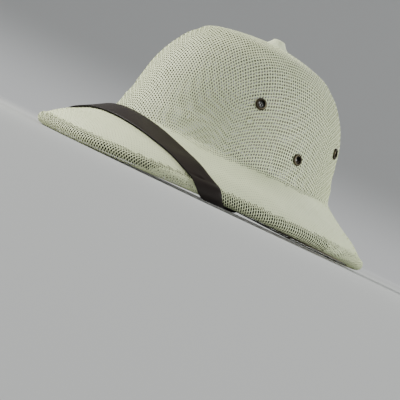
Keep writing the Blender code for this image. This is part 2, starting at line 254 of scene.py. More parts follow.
def rim_lift(turn):
    start = math.sin(RESTING_ARC) ** 2
    return RIM_SIDE_LIFT * np.maximum(0.0, (np.sin(turn) ** 2 - start) / (1 - start))


def roll_middle(turn):
    return point(
        (RIM_HALF_WIDTH - ROLL_RADIUS) * fuller(np.sin(turn)),
        -(RIM_HALF_LENGTH - ROLL_RADIUS) * fuller(np.cos(turn)),
        ROLL_RADIUS + rim_lift(turn),
    )


def outward(turn):
    """(the level direction from the crown's foot to the roll, the distance between them)."""
    across = roll_middle(turn) - crown_point(0.0, turn)
    across[..., 2] = 0
    distance = np.linalg.norm(across, axis=-1)
    return across / distance[..., None], distance


def on_section(turn, reach, height):
    place = crown_point(0.0, turn) + outward(turn)[0] * np.asarray(reach)[..., None]
    place[..., 2] = height
    return place


def brim_point(share, turn):
    foot, roll = crown_point(0.0, turn), roll_middle(turn)
    swell = smooth(BRIM_SECTIONS, 1, share)
    height = foot[..., 2] * (1 - share) + (roll[..., 2] + ROLL_RADIUS) * share + swell
    return on_section(turn, outward(turn)[1] * share, height)


def roll_point(angle, turn, radius=ROLL_RADIUS):
    reach = outward(turn)[1] + radius * np.cos(angle)
    return on_section(turn, reach, roll_middle(turn)[..., 2] + radius * np.sin(angle))


def hem_point(share, turn):
    return on_section(turn, outward(turn)[1] - HEM_WIDTH * share, rim_lift(turn))


def lining_heights(turn):
    """(reach, height) of the lining's underside at its four sections."""
    edge = outward(turn)[1]
    over_hem = rim_lift(turn) + WALL + CLEARANCE
    foot = crown_point(0.0, turn)[..., 2] - LINING_DROP
    return (
        (edge - LINING_TUCK, over_hem),
        (edge - LINING_BEND, over_hem),
        (edge * LINING_KNEE, over_hem * LINING_KNEE_DROP + foot * (1 - LINING_KNEE_DROP)),
        (-LINING_INSET, foot),
    )


# ---------------------------------------------------------------- the cloth that it is woven as


class Cloth:
    """The hat's outside as flat cloth, laid out from the top of the crown in every direction."""

    TURNS = 361
    STEP = 0.0005
    CROWN_POINTS, BRIM_POINTS, ROLL_POINTS, HEM_POINTS = 260, 80, 40, 12

    def __init__(self):
        self.turns = np.linspace(-math.pi, math.pi, self.TURNS)
        turn = self.turns[:, None]
        down_crown = 1 - np.linspace(0, 1, self.CROWN_POINTS)[None, :] ** 1.6
        round_roll = np.linspace(math.pi / 2, -math.pi / 2, self.ROLL_POINTS)[None, 1:]
        runs = [
            crown_point(down_crown, turn),
            brim_point(np.linspace(0, 1, self.BRIM_POINTS)[None, 1:], turn),
            roll_point(round_roll, turn),
            hem_point(np.linspace(0, 1, self.HEM_POINTS)[None, 1:], turn),
        ]
        line = np.concatenate(runs, axis=1)
        steps = np.linalg.norm(np.diff(line, axis=1), axis=2)
        along = np.concatenate([np.zeros((self.TURNS, 1)), np.cumsum(steps, axis=1)], axis=1)
        counts = np.cumsum([run.shape[1] for run in runs]) - 1
        self.foot, self.edge, _, self.end = (along[:, i] for i in counts)
        places = np.arange(0, along.max() + self.STEP, self.STEP)
        self.grid = np.stack(
            [
                np.stack([np.interp(places, along[k], line[k, :, i]) for i in range(3)], axis=1)
                for k in range(self.TURNS)
            ]
        )
        round_hat = np.gradient(self.grid, axis=0)
        down = np.gradient(self.grid, axis=1)
        normal = np.cross(down, round_hat)
        normal[:, 0] = (0, 0, 1)
        length = np.linalg.norm(normal, axis=2, keepdims=True)
        self.normals = normal / np.maximum(length, 1e-12)
        self.normals[-1] = self.normals[0]
        self.unrolled = self.unroll(places)

    def unroll(self, places):
        """The grid as it was before the rim was rolled: the brim goes straight on past its edge."""
        turn = self.turns
        edge = brim_point(np.ones_like(turn), turn)
        way = edge - brim_point(np.full_like(turn, 0.85), turn)
        way /= np.linalg.norm(way, axis=1, keepdims=True)
        past = places[None, :] - self.edge[:, None]
        straight = edge[:, None] + way[:, None] * np.maximum(past, 0)[..., None]
        return np.where(past[..., None] > 0, straight, self.grid)

    def read(self, tables, along, turn):
        """The tables' values at distances from the crown's top and at turns."""
        turn = (turn + math.pi) % (2 * math.pi) - math.pi
        i = (turn + math.pi) / (2 * math.pi) * (self.TURNS - 1)
        j = np.minimum(along / self.STEP, self.grid.shape[1] - 1.001)
        i0 = np.clip(i.astype(int), 0, self.TURNS - 2)
        j0 = j.astype(int)
        u, v = (i - i0)[:, None], (j - j0)[:, None]
        near, far = (1 - u) * (1 - v), u * v
        beside, below = u * (1 - v), (1 - u) * v
        return [
            table[i0, j0] * near
            + table[i0 + 1, j0] * beside
            + table[i0, j0 + 1] * below
            + table[i0 + 1, j0 + 1] * far
            for table in tables
        ]

    def on(self, along, turn, depth):
        """Points on the hat, that far from the crown's top and that far proud of its surface."""
        base, normals = self.read((self.grid, self.normals), along, turn)
        normals /= np.maximum(np.linalg.norm(normals, axis=1, keepdims=True), 1e-9)
        lift = np.asarray(depth) + np.zeros(len(base))
        for height, degrees, proud, spread in RELIEF:
            away = base - crown_point(height, math.radians(degrees))
            lift += proud * np.exp(-np.sum(away**2, axis=1) / (2 * spread**2))
        return base + normals * lift[:, None]

    def limit(self, turn, table):
        return np.interp(turn, self.turns, table)


class Net:
    """Where the strands cross. Cloth drawn over a form keeps its crossings one pitch apart and only
    leans over, so each of them lies a pitch from both of its neighbours nearer the top."""

    COUNTS = (100, 116)
    REACH = 0.262
    LEAST_LEAN = 0.3
    ROUNDS, NUDGE = 6, 1e-5

    def __init__(self, cloth):
        self.cloth = cloth
        front, back = self.lay(1.0), self.lay(-1.0)
        left = np.concatenate([back[:, :0:-1], front], axis=1)
        table = np.concatenate([left[:0:-1] * (-1, 1), left])
        distance = np.linalg.norm(table, axis=2, keepdims=True)
        self.table = table * (1 - GATHER * np.exp(-((distance / GATHER_REACH) ** 2)))
        points = self.surface(table.reshape(-1, 2)).reshape(*table.shape[:2], 3)
        across, ahead = np.gradient(points, axis=0), np.gradient(points, axis=1)
        sizes = np.linalg.norm(across, axis=2) * np.linalg.norm(ahead, axis=2)
        lean = np.linalg.norm(np.cross(across, ahead), axis=2) / np.maximum(sizes, 1e-12)
        self.lean = np.clip(lean, self.LEAST_LEAN, 1.0)

    def surface(self, places):
        along, turn = np.hypot(places[:, 0], places[:, 1]), np.arctan2(places[:, 0], places[:, 1])
        return self.cloth.read((self.cloth.unrolled,), along, turn)[0]

    def lay(self, sign):
        """One quarter of the net, on the left of the hat, in front or behind. Each crossing starts
        from its neighbours' parallelogram and moves by Newton's steps for both its distances."""
        lines, rows = self.COUNTS
        places = np.zeros((lines + 1, rows + 1, 2))
        places[:, 0, 0] = np.arange(lines + 1) * PITCH_ACROSS
        places[0, :, 1] = np.arange(rows + 1) * PITCH_AHEAD * sign
        points = self.surface(places.reshape(-1, 2)).reshape(lines + 1, rows + 1, 3)
        nudges = self.NUDGE * np.eye(2)
        for total in range(2, lines + rows + 1):
            i = np.arange(max(1, total - rows), min(lines, total - 1) + 1)
            j = total - i
            beside, below = points[i - 1, j], points[i, j - 1]
            spot = places[i - 1, j] + places[i, j - 1] - places[i - 1, j - 1]
            for _ in range(self.ROUNDS):
                here = self.surface(spot)
                slopes = [(self.surface(spot + step) - here) / self.NUDGE for step in nudges]
                first = np.sum((here - beside) ** 2, axis=1) - PITCH_ACROSS**2
                second = np.sum((here - below) ** 2, axis=1) - PITCH_AHEAD**2
                a, b = (2 * np.sum((here - beside) * slope, axis=1) for slope in slopes)
                c, d = (2 * np.sum((here - below) * slope, axis=1) for slope in slopes)
                area = a * d - b * c
                area = np.where(np.abs(area) < 1e-12, 1e-12, area)
                move = np.stack([first * d - second * b, a * second - c * first], axis=1)
                move /= area[:, None]
                length = np.linalg.norm(move, axis=1, keepdims=True)
                spot = spot - move * np.minimum(1, PITCH_ACROSS / np.maximum(length, 1e-12))
            distance = np.linalg.norm(spot, axis=1, keepdims=True)
            spot = spot * np.minimum(1, self.REACH / distance)
            places[i, j], points[i, j] = spot, self.surface(spot)
        return places

    def read(self, table, line, row):
        i, j = line + self.COUNTS[0], row + self.COUNTS[1]
        i0 = np.clip(np.floor(i).astype(int), 0, table.shape[0] - 2)
        j0 = np.clip(np.floor(j).astype(int), 0, table.shape[1] - 2)
        u, v = i - i0, j - j0
        if table.ndim == 3:
            u, v = u[:, None], v[:, None]
        return (
            table[i0, j0] * (1 - u) * (1 - v)
            + table[i0 + 1, j0] * u * (1 - v)
            + table[i0, j0 + 1] * (1 - u) * v
            + table[i0 + 1, j0 + 1] * u * v
        )

    def at(self, line, row, depth):
        """(points on the hat, distance from the crown's top, turn) for places in the net."""
        place = self.read(self.table, line, row)
        along, turn = np.hypot(place[:, 0], place[:, 1]), np.arctan2(place[:, 0], place[:, 1])
        return self.cloth.on(along, turn, depth), along, turn


cloth = Cloth()
net = Net(cloth)
backing_edge = cloth.foot + np.interp(
    np.degrees(np.abs(cloth.turns)), *np.array(BACKING_START).T
)

# ---------------------------------------------------------------- modelling helpers


def deselect():
    for thing in bpy.context.selected_objects:
        thing.select_set(False)


def take(name):
    thing = bpy.context.active_object
    thing.name = name
    thing.data.name = name
    return thing


def edit(thing, *steps):
    """Runs edit-mode steps on all of the piece."""
    deselect()
    bpy.context.view_layer.objects.active = thing
    thing.select_set(True)
    bpy.ops.object.mode_set(mode="EDIT")
    bpy.ops.mesh.select_all(action="SELECT")
    for step in steps:
        step()
    bpy.ops.object.mode_set(mode="OBJECT")


def corners(thing):
    flat = np.empty(len(thing.data.vertices) * 3, np.float32)
    thing.data.vertices.foreach_get("co", flat)
    return flat.reshape(-1, 3).astype(float)


def place_corners(thing, points):
    thing.data.vertices.foreach_set("co", np.ascontiguousarray(points, np.float32).ravel())
    thing.data.update()


def delete_corners(thing, chosen):
    """Deletes the points that the mask chooses."""
    deselect()
    bpy.context.view_layer.objects.active = thing
    thing.select_set(True)
    bpy.ops.object.mode_set(mode="EDIT")
    bpy.ops.mesh.select_all(action="DESELECT")
    bpy.ops.mesh.select_mode(type="VERT")
    bpy.ops.object.mode_set(mode="OBJECT")
    thing.data.vertices.foreach_set("select", np.asarray(chosen, bool))
    bpy.ops.object.mode_set(mode="EDIT")
    bpy.ops.mesh.delete(type="VERT")
    bpy.ops.object.mode_set(mode="OBJECT")


def apply(thing, kind, **settings):
    deselect()
    bpy.context.view_layer.objects.active = thing
    thing.select_set(True)
    modifier = thing.modifiers.new(kind.lower(), kind)
    for key, value in settings.items():
        setattr(modifier, key, value)
    bpy.ops.object.modifier_apply(modifier=modifier.name)


def finish(thing, slot, material, *replaced, angle=40):
    deselect()
    bpy.context.view_layer.objects.active = thing
    thing.select_set(True)
    bpy.ops.object.transform_apply(location=True, rotation=True, scale=True)
    bpy.ops.object.shade_smooth_by_angle(angle=math.radians(angle))
    if material is not None:
        thing.data.materials.clear()
        thing.data.materials.append(material)
    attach(thing, "root")
    if replaced:
        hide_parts(*replaced)


def ring_sheet(name, form, around, along):
    """A sheet round the hat: a grid whose first way is bent round and second way follows form,
    a function of (share along, turn)."""
    deselect()
    bpy.ops.mesh.primitive_grid_add(x_subdivisions=around, y_subdivisions=along, size=1)
    thing = take(name)
    flat = corners(thing)
    turn = (flat[:, 0] + 0.5) * 2 * math.pi
    place_corners(thing, form(flat[:, 1] + 0.5, turn))
    edit(thing, lambda: bpy.ops.mesh.remove_doubles(threshold=1e-5))
    apply(thing, "SOLIDIFY", thickness=SHEET_THICKNESS, offset=0.0, use_even_offset=True)
    edit(thing, lambda: bpy.ops.mesh.normals_make_consistent(inside=False))
    return thing


def turned(name, profile, segments, closed=False):
    """A turned piece about +Z: a ring that is drawn out and sized row by row of the profile."""
    deselect()
    radius, height = profile[0]
    bpy.ops.mesh.primitive_circle_add(vertices=segments, radius=radius, location=(0, 0, height))
    thing = take(name)
    bpy.ops.object.transform_apply(location=True, rotation=True, scale=True)
    bpy.ops.object.mode_set(mode="EDIT")
    bpy.ops.mesh.select_all(action="SELECT")
    rows = list(profile[1:]) + ([profile[0]] if closed else [])
    for wide, high in rows:
        bpy.ops.mesh.extrude_region_move()
        bpy.ops.transform.resize(
            value=(wide / radius, wide / radius, 1), center_override=(0, 0, 0)
        )
        bpy.ops.transform.translate(value=(0, 0, high - height))
        radius, height = wide, high
    if not closed:
        bpy.ops.mesh.edge_face_add()
    bpy.ops.mesh.select_all(action="SELECT")
    bpy.ops.mesh.remove_doubles(threshold=1e-5)
    bpy.ops.mesh.normals_make_consistent(inside=False)
    bpy.ops.object.mode_set(mode="OBJECT")
    return thing


# ---------------------------------------------------------------- materials


class Socket:
    """One output of a material's node, with the arithmetic that a pattern needs."""

    def __init__(self, sheet, output):
        self.sheet, self.output = sheet, output

    def math(self, kind, *others):
        return self.sheet.node("ShaderNodeMath", {"operation": kind}, (self, *others))

    def __add__(self, other):
        return self.math("ADD", other)

    def __mul__(self, other):
        return self.math("MULTIPLY", other)

    __radd__, __rmul__ = __add__, __mul__


class Sheet:
    """A material whose shader is set by name, and the nodes of its patterns."""

    def __init__(self, name, **settings):
        self.material = bpy.data.materials.new(name)
        self.material.use_nodes = True
        self.tree = self.material.node_tree
        self.shader = self.tree.nodes["Principled BSDF"]
        for key, value in settings.items():
            self.set(key.replace("_", " "), value)
        self.place = self.node("ShaderNodeTexCoord", {}, (), "Object")

    def node(self, kind, settings, inputs, output=0):
        made = self.tree.nodes.new(kind)
        for key, value in settings.items():
            setattr(made, key, value)
        pairs = inputs.items() if isinstance(inputs, dict) else enumerate(inputs)
        for key, value in pairs:
            if isinstance(value, Socket):
                self.tree.links.new(value.output, made.inputs[key])
            else:
                made.inputs[key].default_value = value
        return Socket(self, made.outputs[output])

    def set(self, name, value):
        if isinstance(value, Socket):
            self.tree.links.new(value.output, self.shader.inputs[name])
        else:
            if name == "Base Color":
                value = (*value, 1.0)
            self.shader.inputs[name].default_value = value

    def noise(self, scale, detail=2.0, roughness=0.5):
        settings = {"Vector": self.place, "Scale": scale, "Detail": detail, "Roughness": roughness}
        return self.node("ShaderNodeTexNoise", {}, settings, "Fac")

    def blend(self, factor, low, high):
        """A colour from low to high as factor goes from 0 to 1."""
        ends = [value if isinstance(value, Socket) else (*value, 1.0) for value in (low, high)]
        inputs = {0: factor, 6: ends[0], 7: ends[1]}
        return self.node("ShaderNodeMix", {"data_type": "RGBA"}, inputs, 2)

    def bump(self, height, distance, strength=1.0):
        inputs = {"Height": height, "Distance": distance, "Strength": strength}
        self.set("Normal", self.node("ShaderNodeBump", {}, inputs, "Normal"))


def straw_material():
    """White paint on the outside of the straw. The strands' inner side and the lower half of their
    sides are near black: partly the straw's own unpainted colour, mostly painted shade that darkens
    the holes in the weave.
    """
    straw = Sheet("painted_straw", Roughness=0.62)
    paint = straw.blend(straw.noise(90.0, 3.0), (0.73, 0.785, 0.49), (0.85, 0.905, 0.60))
    inner = straw.node("ShaderNodeAttribute", {"attribute_name": "inner_side"}, (), "Fac")
    inner = straw.node("ShaderNodeMapRange", {}, {"Value": inner, "From Min": 0.1, "From Max": 0.5})
    # Near black where inner_side is set: painted shade seen through the holes, partly unpainted
    # straw
    straw.set("Base Color", straw.blend(inner, paint, (0.045, 0.037, 0.024)))
    return straw.material


def buckram_material(name, dark, light):
    buckram = Sheet(name, Roughness=0.85)
    buckram.set("Base Color", buckram.blend(buckram.noise(60.0, 3.0), dark, light))
    buckram.bump(buckram.noise(1400.0, 2.0), 0.0002, 0.5)
    return buckram.material


def lining_material(name, dark, light):
    lining = Sheet(name, Roughness=0.9, Sheen_Weight=0.15)
    lining.set("Base Color", lining.blend(lining.noise(45.0, 4.0), dark, light))
    lining.bump(lining.noise(1500.0, 2.0), 0.0002, 0.5)
    return lining.material


def leather_material():
    leather = Sheet("dark_leather", Specular_IOR_Level=0.3)
    tone = leather.noise(70.0, 4.0)
    leather.set("Base Color", leather.blend(tone, (0.011, 0.0075, 0.006), (0.027, 0.019, 0.0155)))
    leather.set("Roughness", tone * 0.2 + 0.36)
    leather.bump(leather.noise(1600.0, 3.0), 0.00015, 0.6)
    return leather.material


def edge_material():
    # Near black: the leather's own edge dye, and painted shadow for the dark line along the strap's
    # lower edge
    edge = Sheet("dyed_edge_and_painted_shadow", Roughness=0.8, Specular_IOR_Level=0.05)
    tone = edge.noise(300.0, 2.0)
    edge.set("Base Color", edge.blend(tone, (0.006, 0.005, 0.005), (0.014, 0.012, 0.011)))
    return edge.material


def brass_material(name, dark, light):
    brass = Sheet(name, Metallic=1.0)
    tone = brass.noise(420.0, 4.0)
    brass.set("Base Color", brass.blend(tone, dark, light))
    brass.set("Roughness", tone * 0.25 + 0.3)
    return brass.material


# ---------------------------------------------------------------- the weave

GRID = 0.01


def eyelet_places():
    """(name, point, normal) for each of the six eyelets."""
    found = []
    step = 0.01
    for place, degrees, height in EYELETS:
        for side, sign in (("left", 1), ("right", -1)):
            turn = math.radians(degrees) * sign
            up = crown_point(height + step, turn) - crown_point(height - step, turn)
            along = crown_point(height, turn + step) - crown_point(height, turn - step)
            normal = np.cross(along, up)
            normal /= np.linalg.norm(normal)
            found.append((f"eyelet_{side}_{place}", crown_point(height, turn), normal))
    return found


def strand_grid(name, lines, cells, width):
    """Straight square-edged strands side by side, GRID apart and cells times GRID long."""
    deselect()
    bpy.ops.mesh.primitive_cylinder_add(
        vertices=4,
        radius=math.sqrt(0.5),
        depth=1,
        end_fill_type="NOTHING",
        rotation=(math.pi / 2, math.pi / 4, 0),
    )
    thing = take(name)
    bpy.ops.object.transform_apply(location=True, rotation=True, scale=True)
    edit(
        thing,
        lambda: bpy.ops.transform.resize(
            value=(width, GRID, STRAND_THICKNESS), center_override=(0, 0, 0)
        ),
        lambda: bpy.ops.transform.translate(value=(0, GRID / 2, 0)),
    )
    steps = {"use_relative_offset": False, "use_constant_offset": True}
    merge = {"use_merge_vertices": True, "merge_threshold": 1e-5}
    along, beside = (0, GRID, 0), (GRID, 0, 0)
    apply(thing, "ARRAY", count=cells, constant_offset_displace=along, **steps, **merge)
    apply(thing, "ARRAY", count=lines, constant_offset_displace=beside, **steps)
    return thing


def whole_rings(kept, line, row):
    """Whether each corner is in a ring that is kept whole, and that joins on to another one."""
    rows = int(row.max()) + 3
    ring = (line * rows + row + 1).astype(int)
    whole = np.bincount(ring, ~kept, minlength=ring.max() + 2) == 0
    used = np.bincount(ring, minlength=ring.max() + 2) > 0
    whole &= used
    return (whole & (np.roll(whole, 1) | np.roll(whole, -1)))[ring]


def weave(name, lengthwise, side, form, inner, outer, material, sink):
    """The strands of one way on one side of the hat, which is 1 or -1. They lie between two
    distances from the crown's top, given for each turn, and end at the eyelets."""
    pitches = (PITCH_ACROSS, PITCH_AHEAD) if lengthwise else (PITCH_AHEAD, PITCH_ACROSS)
    count, cells = (int(outer.max() * NET_MARGIN / pitch) + 2 for pitch in pitches)
    first = 0 if side > 0 else -count
    lines = count + 1 if side > 0 else count
    down, around, closing, rise = form
    thing = strand_grid(name, lines, 2 * cells, GRID / 2)
    flat = corners(thing)
    line = np.round(flat[:, 0] / GRID)
    row = np.round(flat[:, 1] / GRID)
    aside = np.sign(flat[:, 0] - line * GRID) / 2
    crossing = np.where((row + line + first + cells) % 2 == 0, 1.0, -1.0)
    wave = crossing if lengthwise else -crossing
    depth = flat[:, 2] + rise * wave - WEAVE_DEPTH - sink
    middle = (line + first, row - cells) if lengthwise else (row - cells, line + first)
    centres, along, turn = net.at(*middle, 0 * depth)
    facing = np.cos(turn) ** 2 if lengthwise else np.sin(turn) ** 2
    share = around + (down - around) * facing
    lean = net.read(net.lean, *middle) ** closing
    aside = np.clip(aside * share / lean, -WIDEST_HALF, WIDEST_HALF)
    spot = (middle[0] + aside, middle[1]) if lengthwise else (middle[0], middle[1] + aside)
    points, _, _ = net.at(*spot, depth)
    kept = (along < cloth.limit(turn, outer)) & (along > cloth.limit(turn, inner))
    for _, centre, normal in eyelet_places():
        away = centres - centre
        ahead = away @ normal
        beside = np.linalg.norm(away - np.outer(ahead, normal), axis=1)
        kept &= (beside > EYELET_GAP) | (ahead < -EYELET_GAP_DEPTH)
    place_corners(thing, points)
    inner_side = thing.data.attributes.new("inner_side", "FLOAT", "POINT")
    inner_side.data.foreach_set("value", (flat[:, 2] < 0).astype(np.float32))
    delete_corners(thing, ~whole_rings(kept, line, row))
    edit(thing, lambda: bpy.ops.mesh.fill_holes(sides=4))
    finish(thing, "straw", material, "shell", angle=60)


def make_weave(material):
    """The open mesh of the crown, the close weave of the brim and the mesh of the rolled rim."""
    top = np.full_like(cloth.foot, -1.0)
    roll = cloth.edge - ROLL_START
    zones = (
        ("crown", OPEN_WEAVE, top, backing_edge + LAP, 0.0),
        ("brim", CLOSE_WEAVE, backing_edge - LAP, roll + LAP, BRIM_SINK),
        ("rim", RIM_WEAVE, roll - LAP, cloth.end + HEM_OVERRUN, 0.0),
    )
    ways = (("warp", True, ("left", "right")), ("weft", False, ("front", "back")))
    for zone, form, inner, outer, sink in zones:
        for way, lengthwise, sides in ways:
            for side, sign in zip(sides, (1, -1)):
                name = f"{zone}_{way}_{side}"
                weave(name, lengthwise, sign, form, inner, outer, material, sink)


# ---------------------------------------------------------------- sheets behind the weave


def two_sided(sheet, above, below):
    """Gives the faces of a sheet that look up one material, and the others the second."""
    for material in (above, below):
        sheet.data.materials.append(material)
    for face in sheet.data.polygons:
        face.material_index = int(face.normal.z <= 0)


def make_backing(material, back):
    """The stiff white cloth under the brim's weave, with a near black back that is painted shade in
    the hollow behind the rolled rim.
    """

    def form(share, turn):
        wrapped = (turn + math.pi) % (2 * math.pi) - math.pi
        near = cloth.limit(wrapped, backing_edge)
        far = cloth.limit(wrapped, cloth.edge - BACKING_END)
        return cloth.on(near * (1 - share) + far * share, turn, -BACKING_DEPTH)

    sheet = ring_sheet("brim_backing", form, 180, 24)
    two_sided(sheet, material, back)
    finish(sheet, "straw", None)


def make_lining(material, back):
    """The cream cloth under the brim, its back towards the weave near black as painted shade in the
    hollow behind the rolled rim.
    """

    def form(share, turn):
        reaches, heights = zip(*lining_heights(turn))
        stretches = len(reaches) - 1
        spot = share * stretches
        reach = np.zeros_like(share)
        height = np.zeros_like(share)
        for i in range(stretches):
            part = np.clip(spot - i, 0, 1)
            inside = (spot >= i) & (spot <= i + 1)
            reach = np.where(inside, reaches[i] * (1 - part) + reaches[i + 1] * part, reach)
            height = np.where(inside, heights[i] * (1 - part) + heights[i + 1] * part, height)
        return on_section(turn, reach, height)

    sheet = ring_sheet("lining_cloth", form, 160, 30)
    two_sided(sheet, back, material)
    finish(sheet, "lining", None, "brim_lining")


# ---------------------------------------------------------------- button and eyelets


def make_button(material):
    """The covered button: turned, gathered into shallow pleats, and its skirt laid on the crown."""
    crest = FOOT_HEIGHT + CROWN_HEIGHT + CLEARANCE + BUTTON_RISE
    centre = np.array((0, CROWN_SETBACK + BUTTON_BACK, crest))
    button = turned("button_cloth", BUTTON_PROFILE, 96)
    local = corners(button)
    radius = np.hypot(local[:, 0], local[:, 1])
    turn = np.arctan2(local[:, 0], -local[:, 1])
    pleats = np.cos(PLEATS * turn) * np.clip((radius - PLEAT_START) / PLEAT_FADE, 0, 1)
    local[:, :2] *= 1 + PLEAT_DEPTH * pleats[:, None]
    points = local + centre
    top = crown_point(1.0, 0.0)
    level = points - top
    away, bearing = np.hypot(level[:, 0], level[:, 1]), np.arctan2(level[:, 0], -level[:, 1])
    seat = cloth.on(away, bearing, SKIRT_LIFT)[:, 2]
    laid = np.clip((radius - SKIRT_START) / SKIRT_FADE, 0, 1) ** 1.5
    skirt = seat + SKIRT_LIFT - SKIRT_SINK * laid**2
    points[:, 2] = points[:, 2] * (1 - laid) + skirt * laid
    place_corners(button, points)
    finish(button, "straw", material, "top_button")


def make_eyelets(dark, worn, inside):
    """Aged brass, worn light on the lip round the hole, and painted black inside it as shade in the
    hole.
    """
    for name, middle, normal in eyelet_places():
        eyelet = turned(name + "_ring", EYELET_PROFILE, 40, closed=True)
        for material in (dark, worn, inside):
            eyelet.data.materials.append(material)
        for face in eyelet.data.polygons:
            radius, height = face.center.xy.length, face.center.z
            # The barrel and the lip's inner slope: painted shade in the hole
            if radius < EYELET_BARREL or (radius < EYELET_DARK and height > EYELET_SEAT):
                face.material_index = 2
            elif radius < EYELET_WORN and height > EYELET_LIP:
                face.material_index = 1
        eyelet.location = middle
        eyelet.rotation_euler = Vector(normal).to_track_quat("Z", "Y").to_euler()
        finish(eyelet, "brass", None, name, angle=50)


# ---------------------------------------------------------------- strap


def find_place(across, ahead):
    """(turn, reach) of a place that is given in plan."""
    spot = np.array((across, -ahead, 0.0))
    step = 0.001

    def miss(turn):
        line = outward(turn)[0]
        away = spot - crown_point(0.0, turn)
        return line[0] * away[1] - line[1] * away[0]

    turn = math.atan2(across, ahead)
    for _ in range(5):
        slope = (miss(turn + step) - miss(turn - step)) / (2 * step)
        turn -= miss(turn) / slope
    return turn, float((spot - crown_point(0.0, turn)) @ outward(turn)[0])


def top_height(across, ahead):
    """Height of the strap's back over the brim."""
    turn, reach = find_place(across, ahead)
    share = min(max(reach / float(outward(turn)[1]), 0.0), 1.0)
    return float(brim_point(share, turn)[2]) + STRAP_CLEARANCE * SLOPE_OVER


def under_height(turn, reach):
    """Height of the strap's back under the hem and the lining."""
    edge = float(outward(turn)[1])
    sections = lining_heights(turn)
    level = float(rim_lift(turn))
    reaches = (-LINING_INSET, edge * LINING_KNEE, edge - STRAP_HEM, edge)
    heights = (float(sections[3][1]), float(sections[2][1]) - STRAP_SLACK, level, level)
    slope = 1.0 if reach >= edge - STRAP_HEM else SLOPE_UNDER
    return float(np.interp(reach, reaches, heights)) - STRAP_CLEARANCE * slope


def top_line(offset):
    """(points from the front's middle to the roll, turn at the roll) of the strap's line that
    lies that far across it. Each offset is walked over the brim's slope in a few steps."""
    points = []
    step, walk = 0.001, 4
    part = offset / walk
    for side in np.arange(0.0, STRAP_TOP[-1][0], 0.0025):
        ahead = float(smooth(STRAP_TOP, 1, side))
        slope = float(smooth(STRAP_TOP, 1, side + step)) - ahead
        sideways = np.array((-slope, step)) / math.hypot(slope, step)
        spot = np.array((side, ahead))
        for _ in range(walk):
            rise = top_height(*(spot + sideways * part)) - top_height(*spot)
            spot = spot + sideways * part * math.cos(math.atan2(rise, abs(part) + 1e-9))
        turn, reach = find_place(*spot)
        points.append((spot[0], -spot[1], top_height(*spot)))
        if reach > outward(turn)[1]:
            return points[:-1], turn
    raise ValueError("the strap's line never reaches the rim")


def resample(points, count):
    """The line with that many points, evenly spaced."""
    points = np.array(points)
    steps = np.linalg.norm(np.diff(points, axis=0), axis=1)
    along = np.concatenate([[0.0], np.cumsum(steps)])
    places = np.linspace(0, along[-1], count)
    return np.stack([np.interp(places, along, points[:, i]) for i in range(3)], axis=1)


def roll_line(turn, lean, rows):
    """The strap's line round the roll, which goes on round the hat as it leans."""
    radius = ROLL_RADIUS + STRAP_CLEARANCE
    advance = math.pi * radius * lean / RIM_HALF_WIDTH
    shares = np.linspace(0, 1, rows)
    return list(roll_point(math.pi / 2 - math.pi * shares, turn + advance * shares, radius))


def under_line(start, end_reach, rows):
    """The strap's line from the roll to its end on the lining, with a point where the hem ends."""
    end = on_section(STRAP_END_TURN, end_reach, 0.0)

    def at(share):
        spot = start + (end - start) * share
        turn, reach = find_place(spot[0], -spot[1])
        return turn, reach, float(outward(turn)[1])

    low, high = 0.0, 0.6
    for _ in range(20):
        middle = (low + high) / 2
        _, reach, edge = at(middle)
        low, high = (middle, high) if reach > edge - STRAP_HEM else (low, middle)
    points = []
    for share in (low / 3, low * 2 / 3, *np.linspace(low, 1.0, rows)):
        turn, reach, _ = at(share)
        points.append((*(start + (end - start) * share)[:2], under_height(turn, reach)))
    return points


def bridged(line, first, last):
    """The line with its hollows between two rows lifted, as stiff leather spans them."""
    line = np.array(line)
    steps = np.linalg.norm(np.diff(line[:, :2], axis=0), axis=1) + 1e-6
    for _ in range(80):
        for i in range(first, last):
            before, after = steps[i - 1], steps[i]
            level = (line[i - 1, 2] * after + line[i + 1, 2] * before) / (before + after)
            line[i, 2] = max(line[i, 2], level)
    return line


def make_strap(leather, edge):
    """A flat grid that is laid along the strap's path, thickened and bevelled."""
    lines = []
    for share in np.linspace(0.5, -0.5, STRAP_ACROSS + 1):
        top, turn = top_line(STRAP_WIDTH * share)
        lean = STRAP_REAR_LEAN + (STRAP_FRONT_LEAN - STRAP_REAR_LEAN) * (share + 0.5)
        roll = roll_line(turn, lean, STRAP_ROUND)
        over = [*resample([*top, roll[0]], STRAP_OVER)[:-1], *roll]
        end_reach = STRAP_END_REACH - STRAP_WIDTH * share * STRAP_END_SLOPE
        under = under_line(np.array(roll[-1]), end_reach, STRAP_UNDER)
        lines.append([*bridged(over, *STRAP_BRIDGE), *under])
    left = np.array(lines)
    right = left[:, :0:-1] * (-1, 1, 1)
    rows = np.concatenate([right, left], axis=1)
    along = rows.shape[1] - 1
    deselect()
    bpy.ops.mesh.primitive_grid_add(x_subdivisions=STRAP_ACROSS, y_subdivisions=along, size=1)
    strap = take("strap_leather")
    flat = corners(strap)
    i = np.round((flat[:, 0] + 0.5) * STRAP_ACROSS).astype(int)
    j = np.round((flat[:, 1] + 0.5) * along).astype(int)
    place_corners(strap, rows[i, j])
    faces = strap.data.polygons
    if faces[len(faces) // 2].normal.z <= 0:
        edit(strap, lambda: bpy.ops.mesh.flip_normals())
    strap.data.materials.append(leather)
    strap.data.materials.append(edge)
    apply(
        strap,
        "SOLIDIFY",
        thickness=STRAP_THICKNESS,
        offset=1.0,
        use_even_offset=False,
        material_offset_rim=1,
    )
    edit(strap, lambda: bpy.ops.mesh.normals_make_consistent(inside=False))
    apply(strap, "BEVEL", width=STRAP_BEVEL, segments=2, limit_method="ANGLE", angle_limit=1.0)
    finish(strap, "leather", None, "chin_strap", angle=60)


# ---------------------------------------------------------------- camera, floor and light


